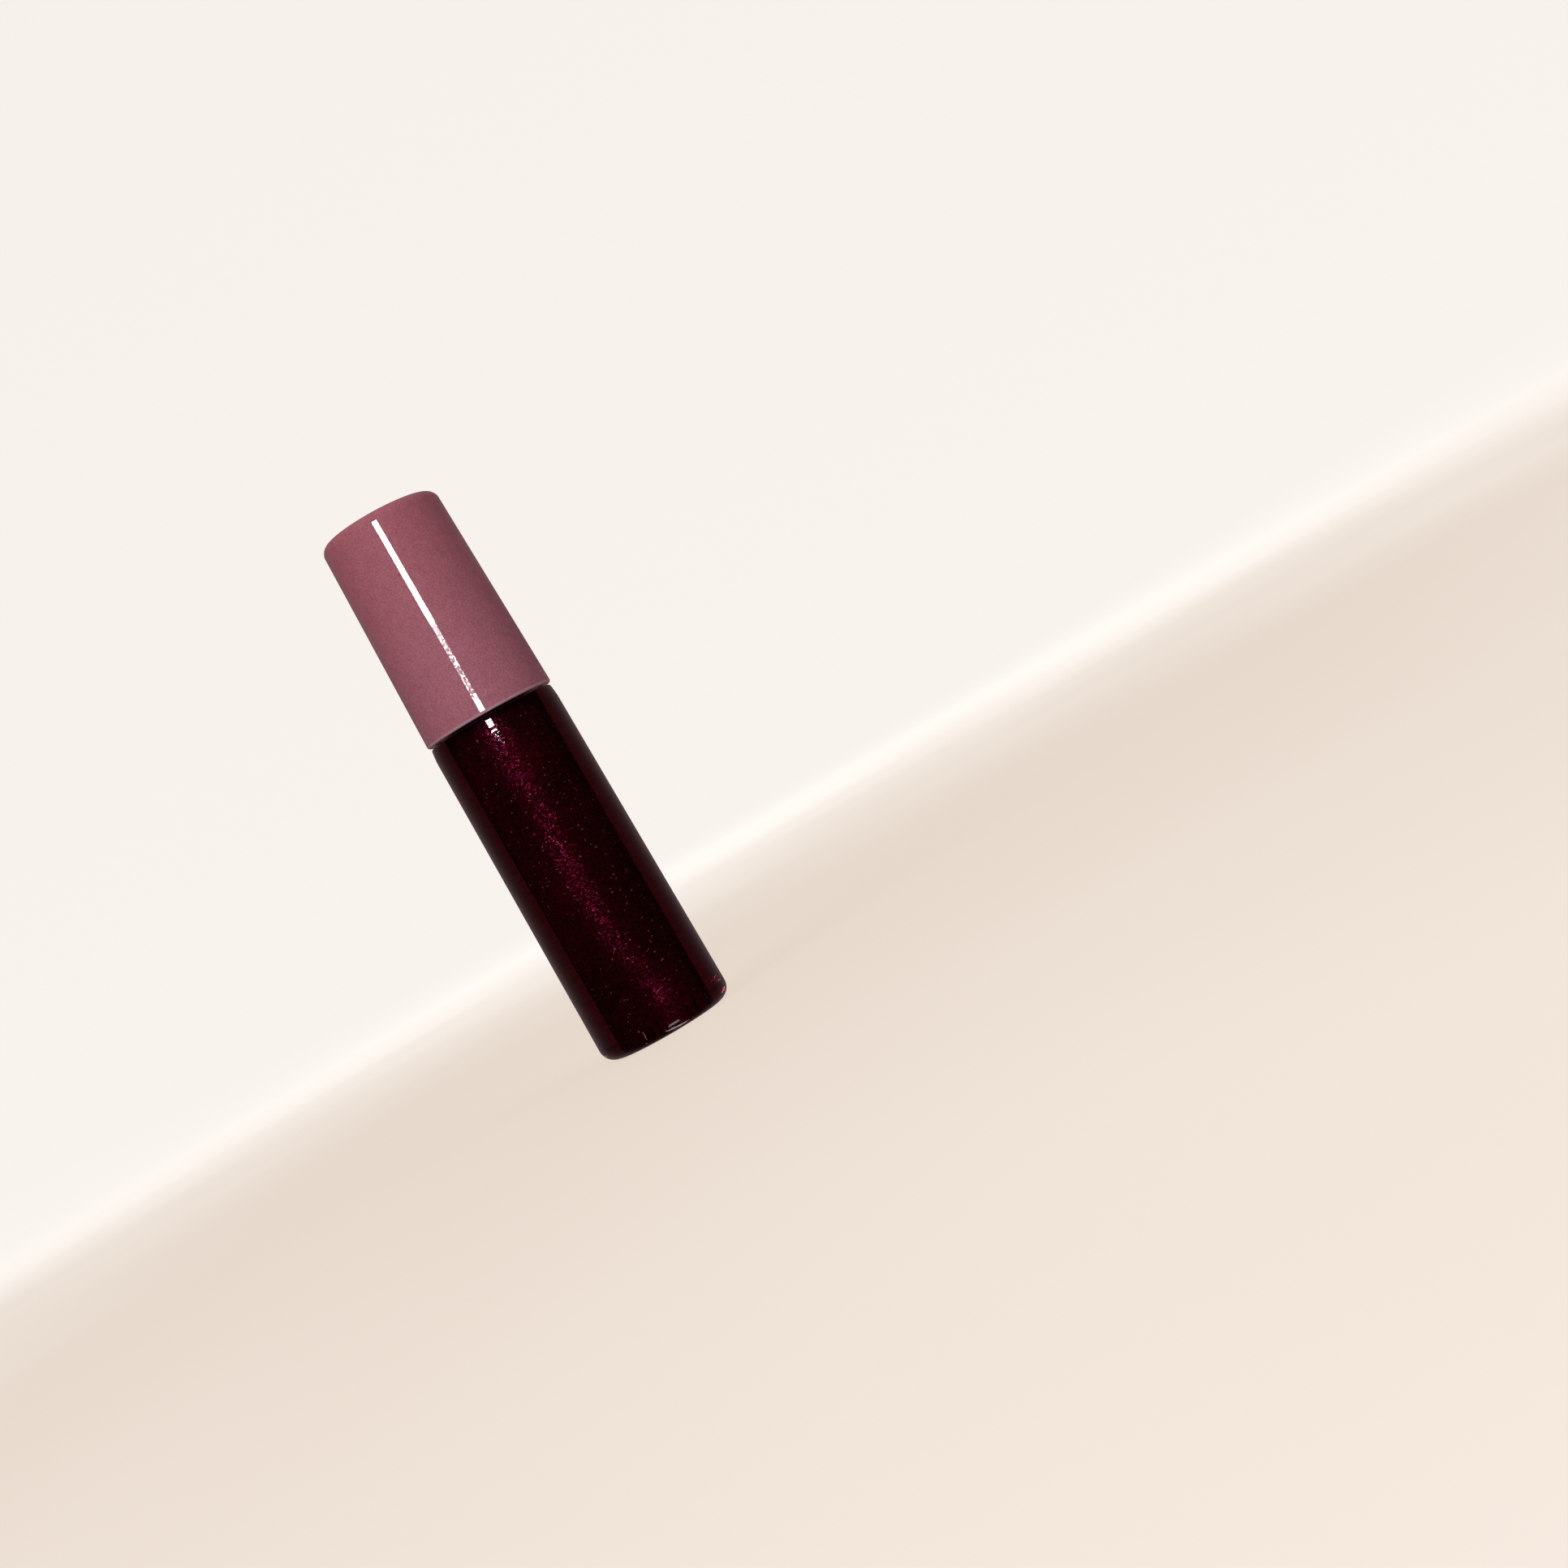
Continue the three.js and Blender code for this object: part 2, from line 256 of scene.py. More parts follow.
@dataclass(frozen=True)
class ClearWall:
    """Clear plastic, smoked a deep wine red, with a polished outside and hairline scratches."""

    deep: Colour = (0.080, 0.006, 0.009)
    pale: Colour = (0.150, 0.018, 0.026)
    ior: float = 1.57
    ripple_top: float = 2.1 * MM  # how far under the shoulder the ripples start
    ripple_foot: float = 4.3 * MM  # and where they fade
    relief: float = 0.012 * MM

    def material(self, shoulder: float) -> bpy.types.Material:
        """The tube's own material, with the small ripples that moulding left under the shoulder's height."""
        sheet = Finish("clear_plastic")
        under = shoulder - sheet.channel(sheet.place, 2)
        rippled = under.above(self.ripple_top, 0.4 * MM) * (1 - under.above(self.ripple_foot, 1.0 * MM))
        ripples = sheet.noise(0.45 * MM, 2.0, 0.6) * rippled
        hairs = sheet.noise(0.25 * MM, 4.0, 0.6, sheet.stretched((1.0, 1.0, 0.06)))
        waves = sheet.noise(6 * MM, 1.0)
        grain = sheet.noise(0.3 * MM, 3.0, 0.6)
        scratches = hairs.above(0.66, 0.1)
        return sheet.finish(
            Base_Color=sheet.blend(grain.above(0.35, 0.3), self.deep, self.pale),
            Roughness=0.012 + scratches * 0.03,
            IOR=self.ior,
            Transmission_Weight=1.0,
            Normal=sheet.bump(waves + hairs * 0.004 + ripples * 1.4, self.relief),
        )


@dataclass(frozen=True)
class PearlGloss:
    """Near-black burgundy gloss full of fine purple pearl that lights up along the light."""

    body: Colour = (0.064, 0.0002, 0.0002)
    cloud: Colour = (0.112, 0.0004, 0.0004)
    pearl: Colour = (0.52, 0.062, 0.41)
    fleck: Colour = (0.95, 0.70, 0.75)
    flake: float = 0.15 * MM
    flake_lean: Triple = (0.22, 0.22, 0.60)  # how far the flakes tip along each axis
    fine_lean: float = 0.15  # the same for the finer flakes, along every axis
    # Height up the gloss, how much pearl has gathered there, and which way it leans (0.5 is straight out).
    bands: tuple[Triple, ...] = (
        (0.03, 0.16, 0.74), (0.09, 0.46, 0.72), (0.16, 0.16, 0.58), (0.26, 0.32, 0.46), (0.38, 0.46, 0.43),
        (0.58, 0.52, 0.44), (0.66, 0.48, 0.48), (0.71, 0.28, 0.50), (0.77, 0.55, 0.47), (0.84, 0.85, 0.43),
        (0.91, 1.00, 0.42), (0.98, 0.55, 0.48),
    )

    def material(self, low: float, high: float) -> bpy.types.Material:
        """The gloss's own material, between the heights of its foot and its top."""
        sheet = Finish("pearl_gloss")
        swirl = sheet.noise(5 * MM, 3.0, 0.6, sheet.stretched((1.0, 1.0, 0.4)))
        drift = sheet.noise(7 * MM, 1.0, 0.5, sheet.stretched((0.1, 0.1, 1.0)))
        height = (sheet.channel(sheet.place, 2) - low) / (high - low)
        gathered = sheet.ramp(height, [(at, (much, lean, 0.0)) for at, much, lean in self.bands])
        much, toward = sheet.channel(gathered, 0), sheet.channel(gathered, 1)
        _, tint = sheet.cells(self.flake)
        _, fine = sheet.cells(self.flake * 0.55)
        middle = (0.5, 0.5, 0.5)
        lean = sheet.vector("MULTIPLY", sheet.vector("SUBTRACT", tint, middle), self.flake_lean)
        fine_lean = sheet.scaled(sheet.vector("SUBTRACT", fine, middle), self.fine_lean)
        pearly = sheet.channel(tint, 1).above(0.58, 0.04)
        glint = sheet.channel(fine, 2)
        shine = (0.12 + glint * glint * glint * 4.0) * (0.45 + swirl) * much
        bright = sheet.channel(tint, 0).above(0.984, 0.008)
        normal = sheet.vector("ADD", sheet.surface_normal(), lean)
        normal = sheet.vector("ADD", normal, fine_lean)
        side = sheet.node("ShaderNodeCombineXYZ", {}, {"X": (drift - 0.5) * 0.35 + (0.5 - toward)})
        normal = sheet.vector("ADD", normal, Wire(sheet, side.outputs[0]))
        normal = sheet.vector("NORMALIZE", normal, (0.0, 0.0, 0.0))
        body = sheet.blend(swirl.above(0.45, 0.3), self.body, self.cloud)
        pearl = sheet.node("ShaderNodeVectorMath", {"operation": "SCALE"}, {0: self.pearl, "Scale": shine})
        lit = sheet.blend(pearly, body, Wire(sheet, pearl.outputs["Vector"]))
        return sheet.finish(
            Base_Color=sheet.blend(bright, lit, self.fleck),
            Metallic=pearly,
            Roughness=0.36 - bright * 0.18,
            Specular_IOR_Level=0.0,
            Specular_Tint=(0.0, 0.0, 0.0),
            Normal=normal,
        )


@dataclass(frozen=True)
class MauveSatin:
    """Satin mauve plastic with a fine grain, a thin clear coat, a few dark specks and a painted highlight
    along the rim.
    """

    upper: Colour = (0.330, 0.099, 0.126)
    lower: Colour = (0.318, 0.106, 0.137)
    # Colour of the painted highlight along the rim's rounded edge.
    painted_rim_highlight: Colour = (0.55, 0.33, 0.38)
    speck: Colour = (0.10, 0.03, 0.045)

    def material(self, low: float, high: float) -> bpy.types.Material:
        """The cap shell's own material, between the heights of its rim and its top."""
        sheet = Finish("mauve_plastic")
        height = (sheet.channel(sheet.place, 2) - low) / (high - low)
        mottle = sheet.noise(1.1 * MM, 5.0, 0.7)
        grain = sheet.noise(0.20 * MM, 3.0, 0.7)
        peel = sheet.noise(0.45 * MM, 2.0)
        distance, tint = sheet.cells(2.2 * MM)
        rare = sheet.channel(tint, 1).above(0.90, 0.01)
        specks = rare * (1 - distance.above(0.03, 0.05)) * 0.8
        colour = sheet.blend(height.above(0.1, 0.8), self.lower, self.upper)
        shade = 0.70 + grain.above(0.3, 0.4) * 0.42 + mottle.above(0.3, 0.4) * 0.14
        # Painted highlight: the lowest sliver of the shell, at its rim, is blended towards a light pink,
        # standing in for light caught by the rim's rounding.
        painted_rim_highlight = (1 - height.above(0.004, 0.012)) * 0.75
        grain_and_rim_highlight = sheet.blend(painted_rim_highlight, sheet.scaled(colour, shade), self.painted_rim_highlight)
        rough_low = 1 - height.above(0.28, 0.30)
        frosted = 1 - sheet.noise(0.36 * MM, 2.0, 0.6).above(0.50, 0.06)
        matted = rough_low * height.above(0.035, 0.05) * frosted
        return sheet.finish(
            Base_Color=sheet.blend(specks, grain_and_rim_highlight, self.speck),
            Roughness=0.46 + mottle * 0.12,
            Specular_IOR_Level=0.12,
            Coat_Weight=1 - matted * 0.88,
            Coat_Roughness=0.03,
            Normal=sheet.bump(grain * 0.8 + peel, 0.006 * MM),
        )


@dataclass(frozen=True)
class MouldedPlastic:
    """Plain moulded plastic: an even colour with slight clouding and a fine moulded texture."""

    name: str
    colour: Colour
    cloud: Colour
    roughness: float = 0.45
    coat: float = 0.0

    def material(self) -> bpy.types.Material:
        """The material in this colour."""
        sheet = Finish(self.name)
        cloud = sheet.noise(2.5 * MM, 3.0)
        grain = sheet.noise(0.12 * MM, 3.0, 0.6)
        flow = sheet.noise(0.8 * MM, 2.0, 0.5, sheet.stretched((1.0, 1.0, 0.15)))
        return sheet.finish(
            Base_Color=sheet.blend(cloud.above(0.35, 0.35), self.colour, self.cloud),
            Roughness=self.roughness + (grain - 0.5) * 0.15,
            Coat_Weight=self.coat,
            Coat_Roughness=0.12,
            Normal=sheet.bump(grain + flow * 0.6, 0.01 * MM),
        )


@dataclass(frozen=True)
class WetFlock:
    """Short nylon fibre soaked with gloss."""

    colour: Colour = (0.10, 0.008, 0.024)
    tip: Colour = (0.22, 0.03, 0.07)

    def material(self) -> bpy.types.Material:
        """The flock's own material."""
        sheet = Finish("flock")
        fibre = sheet.noise(0.07 * MM, 3.0, 0.7)
        clump = sheet.noise(0.6 * MM, 2.0)
        return sheet.finish(
            Base_Color=sheet.blend(fibre.above(0.4, 0.25) * clump, self.colour, self.tip),
            Roughness=0.7 - clump * 0.35,
            Sheen_Weight=0.3,
            Normal=sheet.bump(fibre, 0.05 * MM),
        )


# ---------------------------------------------------------------- modelling bench


@dataclass(frozen=True)
class Ring:
    """One ring of a turned outline, in metres, and the rounding its edge is given."""

    radius: float
    height: float
    rounding: float = 0.0


def tidy_selection() -> None:
    """Leaves nothing selected and no mode open."""
    if bpy.context.object and bpy.context.object.mode != "OBJECT":
        bpy.ops.object.mode_set(mode="OBJECT")
    bpy.ops.object.select_all(action="DESELECT")


def only(piece: bpy.types.Object) -> None:
    """Makes one piece the selected and active one."""
    tidy_selection()
    piece.select_set(True)
    bpy.context.view_layer.objects.active = piece


def pick_edges(piece: bpy.types.Object, wanted: Callable[[Vector, Vector], bool]) -> int:
    """Selects edges in edit mode by where their two ends are, and says how many were picked."""
    bpy.ops.mesh.select_mode(type="EDGE")
    bpy.ops.mesh.select_all(action="DESELECT")
    shape = bmesh.from_edit_mesh(piece.data)
    count = 0
    for edge in shape.edges:
        edge.select = wanted(edge.verts[0].co, edge.verts[1].co)
        count += edge.select
    shape.select_flush_mode()
    bmesh.update_edit_mesh(piece.data)
    return count


def on_ring(ring: Ring) -> Callable[[Vector, Vector], bool]:
    """A test for edges that lie on one ring round the axis."""

    def wanted(a: Vector, b: Vector) -> bool:
        """Whether both ends lie on the ring."""
        return all(abs(p.xy.length - ring.radius) < NEAR and abs(p.z - ring.height) < NEAR for p in (a, b))

    return wanted


def settle(piece: bpy.types.Object) -> bpy.types.Object:
    """Sets a piece's place into its mesh, turns its faces out and shades it smooth."""
    if piece.mode == "EDIT":
        bpy.ops.object.mode_set(mode="OBJECT")
    only(piece)
    bpy.ops.object.transform_apply(location=True, rotation=True, scale=True)
    bpy.ops.object.mode_set(mode="EDIT")
    bpy.ops.mesh.select_all(action="SELECT")
    bpy.ops.mesh.remove_doubles(threshold=1e-7)
    bpy.ops.mesh.normals_make_consistent(inside=False)
    bpy.ops.object.mode_set(mode="OBJECT")
    bpy.ops.object.shade_smooth_by_angle(angle=SHARP_ANGLE)
    return piece


def next_ring(before: Ring, ring: Ring) -> None:
    """Extrudes the selected ring of edges to the next one."""
    bpy.ops.mesh.extrude_edges_move(TRANSFORM_OT_translate={"value": (0, 0, ring.height - before.height)})
    share = ring.radius / before.radius
    bpy.ops.transform.resize(value=(share, share, 1), center_override=(0, 0, ring.height))


def round_ring(piece: bpy.types.Object, before: Ring, ring: Ring, after: Ring, steps: int) -> None:
    """Rounds one ring's edge with the bevel tool, to the radius that the ring asks for."""
    a = Vector((ring.radius - before.radius, ring.height - before.height))
    b = Vector((after.radius - ring.radius, after.height - ring.height))
    offset = ring.rounding * math.tan(a.angle(b) / 2)
    if pick_edges(piece, on_ring(ring)):
        bpy.ops.mesh.bevel(offset=offset, offset_type="OFFSET", segments=steps, profile=0.5, affect="EDGES",
                           clamp_overlap=False)


def turn(
    name: str, rings: Sequence[Ring], around: int = FINE, loop: bool = False, steps: int = 8,
) -> bpy.types.Object:
    """A turned piece, raised ring by ring from a circle and then rounded.

    The outline is closed off at the axis, or a loop closes on itself, clear of the axis. Around is how many
    divisions the piece has round the axis, and steps is how many a rounding has.
    """
    tidy_selection()
    first, last = rings[0], rings[-1]
    fill = "NOTHING" if loop else "TRIFAN"
    bpy.ops.mesh.primitive_circle_add(vertices=around, radius=first.radius, fill_type=fill)
    piece = bpy.context.object
    piece.name = name
    bpy.ops.object.mode_set(mode="EDIT")
    bpy.ops.mesh.select_all(action="SELECT")
    bpy.ops.transform.translate(value=(0, 0, first.height))
    pick_edges(piece, on_ring(first))
    for before, ring in zip(rings, rings[1:]):
        next_ring(before, ring)
    if loop:
        ends = (on_ring(first), on_ring(last))
        pick_edges(piece, lambda a, b: any(test(a, b) for test in ends))
        bpy.ops.mesh.bridge_edge_loops()
    else:
        bpy.ops.mesh.extrude_edges_move(TRANSFORM_OT_translate={"value": (0, 0, 0)})
        bpy.ops.mesh.merge(type="CENTER")
    centre_low, centre_high = Ring(0, first.height), Ring(0, last.height)
    befores = [last if loop else centre_low, *rings[:-1]]
    afters = [*rings[1:], first if loop else centre_high]
    for before, ring, after in zip(befores, rings, afters):
        if ring.rounding > 0:
            round_ring(piece, before, ring, after, steps)
    return settle(piece)


def apply_modifier(piece: bpy.types.Object, kind: str, **settings: object) -> None:
    """Applies a modifier with its settings."""
    only(piece)
    modifier = piece.modifiers.new(kind.title(), kind)
    for option, choice in settings.items():
        setattr(modifier, option, choice)
    bpy.ops.object.modifier_apply(modifier=modifier.name)


def unite(piece: bpy.types.Object, other: bpy.types.Object) -> bpy.types.Object:
    """Joins another solid into a piece as one skin, and removes the other."""
    apply_modifier(piece, "BOOLEAN", operation="UNION", solver="EXACT", object=other)
    bpy.data.objects.remove(other, do_unlink=True)
    return settle(piece)


def cut(piece: bpy.types.Object, other: bpy.types.Object) -> bpy.types.Object:
    """Cuts another solid out of a piece, and removes the other."""
    apply_modifier(piece, "BOOLEAN", operation="DIFFERENCE", solver="EXACT", object=other)
    bpy.data.objects.remove(other, do_unlink=True)
    return settle(piece)


@dataclass(frozen=True)
class Thread:
    """A round-crested screw thread: where its bead runs, and how its ends sink into the wall."""

    radius: float
    foot: float
    sink: float
    bead: float = THREAD_BEAD
    pitch: float = 3 * MM
    turns: float = 1.25
    steps_round_bead: int = 16
    steps_in_turn: int = 72
    run_out_steps: int = 5
    run_out_angle: float = math.radians(5)  # how far each of those steps goes round

    def build(self, name: str) -> bpy.types.Object:
        """The bead as a closed solid, screwed up round the axis from a small circle."""
        tidy_selection()
        upright = (math.pi / 2, 0, 0)
        bpy.ops.mesh.primitive_circle_add(
            vertices=self.steps_round_bead, radius=self.bead, rotation=upright)
        bead = bpy.context.object
        bead.name = name
        bpy.ops.object.mode_set(mode="EDIT")
        bpy.ops.mesh.select_all(action="SELECT")
        bpy.ops.transform.translate(value=(self.radius, 0, self.foot))
        bpy.ops.object.mode_set(mode="OBJECT")
        bpy.ops.object.transform_apply(location=True, rotation=True, scale=True)
        steps = round(self.steps_in_turn * self.turns)
        apply_modifier(bead, "SCREW", angle=2 * math.pi * self.turns, screw_offset=self.pitch * self.turns,
                       steps=steps, render_steps=steps, use_merge_vertices=False)
        self._run_out(bead, 0.0, self.foot, -1)
        self._run_out(bead, 2 * math.pi * self.turns, self.foot + self.pitch * self.turns, 1)
        return settle(bead)

    def _run_out(self, bead: bpy.types.Object, angle: float, height: float, way: int) -> None:
        """Carries one end on along the helix while it sinks into the wall, and closes it."""
        only(bead)
        bpy.ops.object.mode_set(mode="EDIT")
        centre = Vector((self.radius * math.cos(angle), self.radius * math.sin(angle), height))
        reach = self.bead * 1.05  # a little past the bead's own radius
        side = Vector((-math.sin(angle), math.cos(angle), 0)) * way

        def at_end(a: Vector, b: Vector) -> bool:
            """Whether an edge is on the open end ring."""
            return all((p - centre).length < reach and abs((p - centre).dot(side)) < 1e-5 for p in (a, b))

        pick_edges(bead, at_end)
        for _ in range(self.run_out_steps):
            angle += way * self.run_out_angle
            move = Vector((self.radius * math.cos(angle), self.radius * math.sin(angle), height)) - centre
            move += Vector((math.cos(angle), math.sin(angle), 0)) * (self.sink / self.run_out_steps)
            bpy.ops.mesh.extrude_edges_move(TRANSFORM_OT_translate={"value": move})
            centre += move
        bpy.ops.mesh.edge_face_add()
        bpy.ops.object.mode_set(mode="OBJECT")


def show(piece: bpy.types.Object, body: Body, slot: Slot, finish: bpy.types.Material, node: str) -> None:
    """Dresses a piece, hangs it on its body and hides the imported part that it stands in for."""
    apply_modifier(piece, "WEIGHTED_NORMAL", mode="FACE_AREA", weight=100, keep_sharp=True)
    piece.data.materials.clear()
    piece.data.materials.append(finish)
    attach(piece, body.value)
    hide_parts(node)
    log.info("%s: %d faces on %s", piece.name, len(piece.data.polygons), body.value)


# ---------------------------------------------------------------- the tube and what it holds


@dataclass
class Tube:
    """Clear heavy-walled tube with its rounded foot, shoulder and threaded neck."""

    foot_rounding: float = 2.1 * MM
    shoulder_rounding: float = 0.15 * MM
    recess_radius: float = 5.6 * MM
    recess_depth: float = 0.45 * MM
    bore: float = 4.56 * MM
    floor: float = 1.0 * MM
    floor_rounding: float = 0.9 * MM
    neck: float = 5.7 * MM
    shoulder_radius: float = 9.49 * MM
    thread_foot: float = 5 * MM  # above the shoulder
    thread_sink: float = -0.6 * MM
    roll_start: float = -1.73 * MM
    roll_support: float = 0.03 * MM
    # The narrow facets under the shoulder: where each one ends, in millimetres, and its lean in degrees.
    roll: tuple[tuple[float, float], ...] = (
        (-1.42, 5.0), (-1.35, 10.0), (-0.98, 5.5), (-0.88, 10.0), (-0.62, 5.0), (0.0, 9.0),
    )

    def _rolled(self, shoulder: float) -> list[Ring]:
        """The rings of the facets under the shoulder, from below, up to the rounded corner.

        Each facet has a ring close inside both its edges, but the corner's rounding replaces the last one.
        """
        radius, height = self.shoulder_radius, self.roll_start
        rings = [Ring(radius, shoulder + height)]
        for end, lean in self.roll:
            slope = math.tan(math.radians(lean))
            for stop in (height + self.roll_support, end * MM - self.roll_support, end * MM):
                radius -= (stop - height) * slope
                height = stop
                rings.append(Ring(radius, shoulder + height))
        *facets, _, corner = rings
        return [*facets, Ring(corner.radius, corner.height, self.shoulder_rounding)]

    def build(self) -> bpy.types.Object:
        """The tube as one skin, outside and bore."""
        low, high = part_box("tube_body")
        top = high.z
        shoulder = top - NECK_LENGTH
        rings = [
            Ring(self.recess_radius - 0.5 * MM, self.recess_depth, 0.4 * MM),
            Ring(self.recess_radius, low.z, 0.2 * MM),
            Ring(high.x, low.z, self.foot_rounding),
            *self._rolled(shoulder),
            Ring(self.neck, shoulder, 0.35 * MM),
            Ring(self.neck, top, 0.3 * MM),
            Ring(self.bore, top, 0.2 * MM),
            Ring(self.bore, self.floor, self.floor_rounding),
        ]
        skin = turn("tube_clear", rings)
        middle = self.neck + THREAD_HEIGHT - THREAD_BEAD
        thread = Thread(middle, shoulder + self.thread_foot, self.thread_sink)
        return unite(skin, thread.build("neck_thread"))

    def dress(self, piece: bpy.types.Object) -> None:
        """Gives the tube its clear wall. Its own shadow is left out, so that light reaches the gloss."""
        _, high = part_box("tube_body")
        show(piece, Body.TUBE, Slot.CLEAR, ClearWall().material(high.z - NECK_LENGTH), "tube_body")
        piece.visible_shadow = False


@dataclass
class Gloss:
    """The gloss in the bore, wetted against the wall, with the wand's path open in it."""

    wet: float = 0.015 * MM
    path: float = 2.5 * MM

    def build(self, tube: Tube) -> bpy.types.Object:
        """The gloss as a closed solid, a hair into the wall, so that no air shows between them."""
        _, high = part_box("gloss_fill")
        radius = tube.bore + self.wet
        bottom = tube.floor - self.wet
        path_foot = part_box("applicator_flock")[0].z - 0.6 * MM
        rings = [
            Ring(0.3 * radius, bottom),
            Ring(radius, bottom, tube.floor_rounding),
            Ring(radius, high.z, 0.3 * MM),
            Ring(self.path, high.z, 0.2 * MM),
            Ring(self.path, path_foot, 0.8 * MM),
        ]
        return turn("gloss", rings)

    def dress(self, piece: bpy.types.Object) -> None:
        """Gives the gloss its pearl."""
        low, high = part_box("gloss_fill")
        show(piece, Body.TUBE, Slot.GLOSS, PearlGloss().material(low.z, high.z), "gloss_fill")


@dataclass
class Wiper:
    """The soft wiper pressed into the neck."""

    wall: float = 0.7 * MM
    mouth: float = 2.3 * MM
    cone: float = 3.2 * MM

    def build(self, tube: Tube) -> bpy.types.Object:
        """Flange, sleeve and cone as one thin turned piece."""
        low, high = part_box("wiper")
        sleeve = tube.bore - 0.06 * MM
        flange_foot = high.z - 0.7 * MM
        rings = [
            Ring(self.mouth, low.z, 0.12 * MM),
            Ring(self.mouth + 0.5 * MM, low.z, 0.2 * MM),
            Ring(sleeve, low.z + self.cone, 0.6 * MM),
            Ring(sleeve, flange_foot, 0.05 * MM),
            Ring(high.x, flange_foot, 0.15 * MM),
            Ring(high.x, high.z, 0.2 * MM),
            Ring(sleeve - self.wall, high.z, 0.35 * MM),
            Ring(sleeve - self.wall, low.z + self.cone + 0.5 * MM, 0.6 * MM),
            Ring(self.mouth, low.z + 0.7 * MM, 0.3 * MM),
        ]
        return turn("wiper_insert", rings, PLAIN, loop=True, steps=4)

    def dress(self, piece: bpy.types.Object) -> None:
        """Gives the wiper its milky plastic."""
        milky = MouldedPlastic("milky_plastic", (0.72, 0.69, 0.64), (0.62, 0.57, 0.53), 0.4)
        show(piece, Body.TUBE, Slot.SOFT, milky.material(), "wiper")


# ---------------------------------------------------------------- the cap and what turns with it


@dataclass
class CapShell:
    """Tapered mauve shell with a rounded top edge and a slightly crowned top."""

    wall: float = 1.05 * MM
    top_radius: float = 8.86 * MM
    edge: float = 1.5 * MM
    crown: float = 0.3 * MM
    ceiling: float = 1.6 * MM

    def build(self) -> bpy.types.Object:
        """The shell, outside and inside, as one skin."""
        low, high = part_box("cap_shell")
        rim = high.x
        edge_top = high.z - self.crown
        slope = (rim - self.top_radius) / (edge_top - self.edge - low.z)
        corner = rim - slope * (edge_top - low.z)
        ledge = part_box("inner_cap")[1].z - SOCKET_LENGTH + 0.1 * MM
        inner = rim - self.wall - slope * (ledge - low.z)
        crown_foot = self.top_radius - self.edge
        ceiling = high.z - self.ceiling
        dome = [
            Ring(crown_foot * share, edge_top + self.crown * (1 - share * share))
            for share in (0.85, 0.7, 0.55, 0.4, 0.25, 0.1)
        ]
        rings = [
            Ring(2 * MM, ceiling),
            Ring(inner - 1.4 * MM, ceiling, 0.5 * MM),
            Ring(inner - 0.7 * MM, ledge, 0.1 * MM),
            Ring(inner, ledge, 0.1 * MM),
            Ring(rim - self.wall, low.z, 0.25 * MM),
            Ring(rim, low.z, 0.4 * MM),
            Ring(corner, edge_top, self.edge),
            *dome,
        ]
        return turn("cap_outer", rings, steps=12)

    def dress(self, piece: bpy.types.Object) -> None:
        """Gives the shell its satin mauve."""
        low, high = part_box("cap_shell")
        show(piece, Body.CAP, Slot.MAUVE, MauveSatin().material(low.z, high.z), "cap_shell")


@dataclass
class Liner:
    """Threaded liner pressed into the shell, with its gripping ribs and the wand's socket."""

    thread_radius: float = 6.85 * MM
    wall: float = 0.8 * MM
    socket: float = 2.7 * MM
    socket_wall: float = 1.1 * MM
    plate: float = 1.3 * MM
    thread_foot: float = 6.5 * MM  # above the tube's shoulder
    thread_sink: float = 0.6 * MM
    ribs: int = 24

    def build(self) -> bpy.types.Object:
        """Liner, ribs and female thread as one skin."""
        low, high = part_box("inner_cap")
        plate_top = high.z - SOCKET_LENGTH
        plate_foot = plate_top - self.plate
        skirt = self.thread_radius + self.wall
        rings = [
            Ring(0.5 * self.socket, high.z - 1 * MM),
            Ring(self.socket, high.z - 1 * MM, 0.1 * MM),
            Ring(self.socket, plate_foot, 0.1 * MM),
            Ring(self.thread_radius, plate_foot, 0.3 * MM),
            Ring(self.thread_radius, low.z, 0.25 * MM),
            Ring(high.x, low.z, 0.15 * MM),
            Ring(high.x, low.z + 0.8 * MM, 0.1 * MM),
            Ring(skirt, low.z + 0.8 * MM, 0.1 * MM),
            Ring(skirt, plate_top, 0.2 * MM),
            Ring(self.socket + self.socket_wall, plate_top, 0.3 * MM),
            Ring(self.socket + self.socket_wall, high.z, 0.3 * MM),
        ]
        body = turn("cap_liner", rings, PLAIN, steps=4)
        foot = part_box("tube_body")[1].z - NECK_LENGTH + self.thread_foot
        thread = Thread(self.thread_radius - THREAD_HEIGHT + THREAD_BEAD, foot, self.thread_sink)
        body = unite(body, thread.build("liner_thread"))
        return unite(body, self._ribs(skirt, low.z + 0.7 * MM, plate_top - 0.5 * MM))

    def _ribs(self, skirt: float, foot: float, top: float) -> bpy.types.Object:
        """All the gripping ribs, joined, as copies of one that is bevelled along its outer edges."""
        copies = []
        for index in range(self.ribs):
            tidy_selection()
            angle = 2 * math.pi * index / self.ribs
            reach = skirt + 0.1 * MM
            place = (reach * math.cos(angle), reach * math.sin(angle), (foot + top) / 2)
            bpy.ops.mesh.primitive_cube_add(size=1, location=place, rotation=(0, 0, angle))
            rib = bpy.context.object
            rib.scale = (0.5 * MM, 0.6 * MM, top - foot)
            bpy.ops.object.transform_apply(location=False, rotation=False, scale=True)
            apply_modifier(rib, "BEVEL", width=0.12 * MM, segments=2)
            copies.append(rib)
        only(copies[0])
        for rib in copies:
            rib.select_set(True)
        bpy.ops.object.join()
        bpy.ops.object.transform_apply(location=True, rotation=True, scale=True)
        return copies[0]

    def dress(self, piece: bpy.types.Object) -> None:
        """Gives the liner a moulded mauve plastic of its own."""
        plastic = MouldedPlastic("liner_plastic", (0.26, 0.085, 0.115), (0.22, 0.07, 0.095), 0.42)
        show(piece, Body.CAP, Slot.LINER, plastic.material(), "inner_cap")


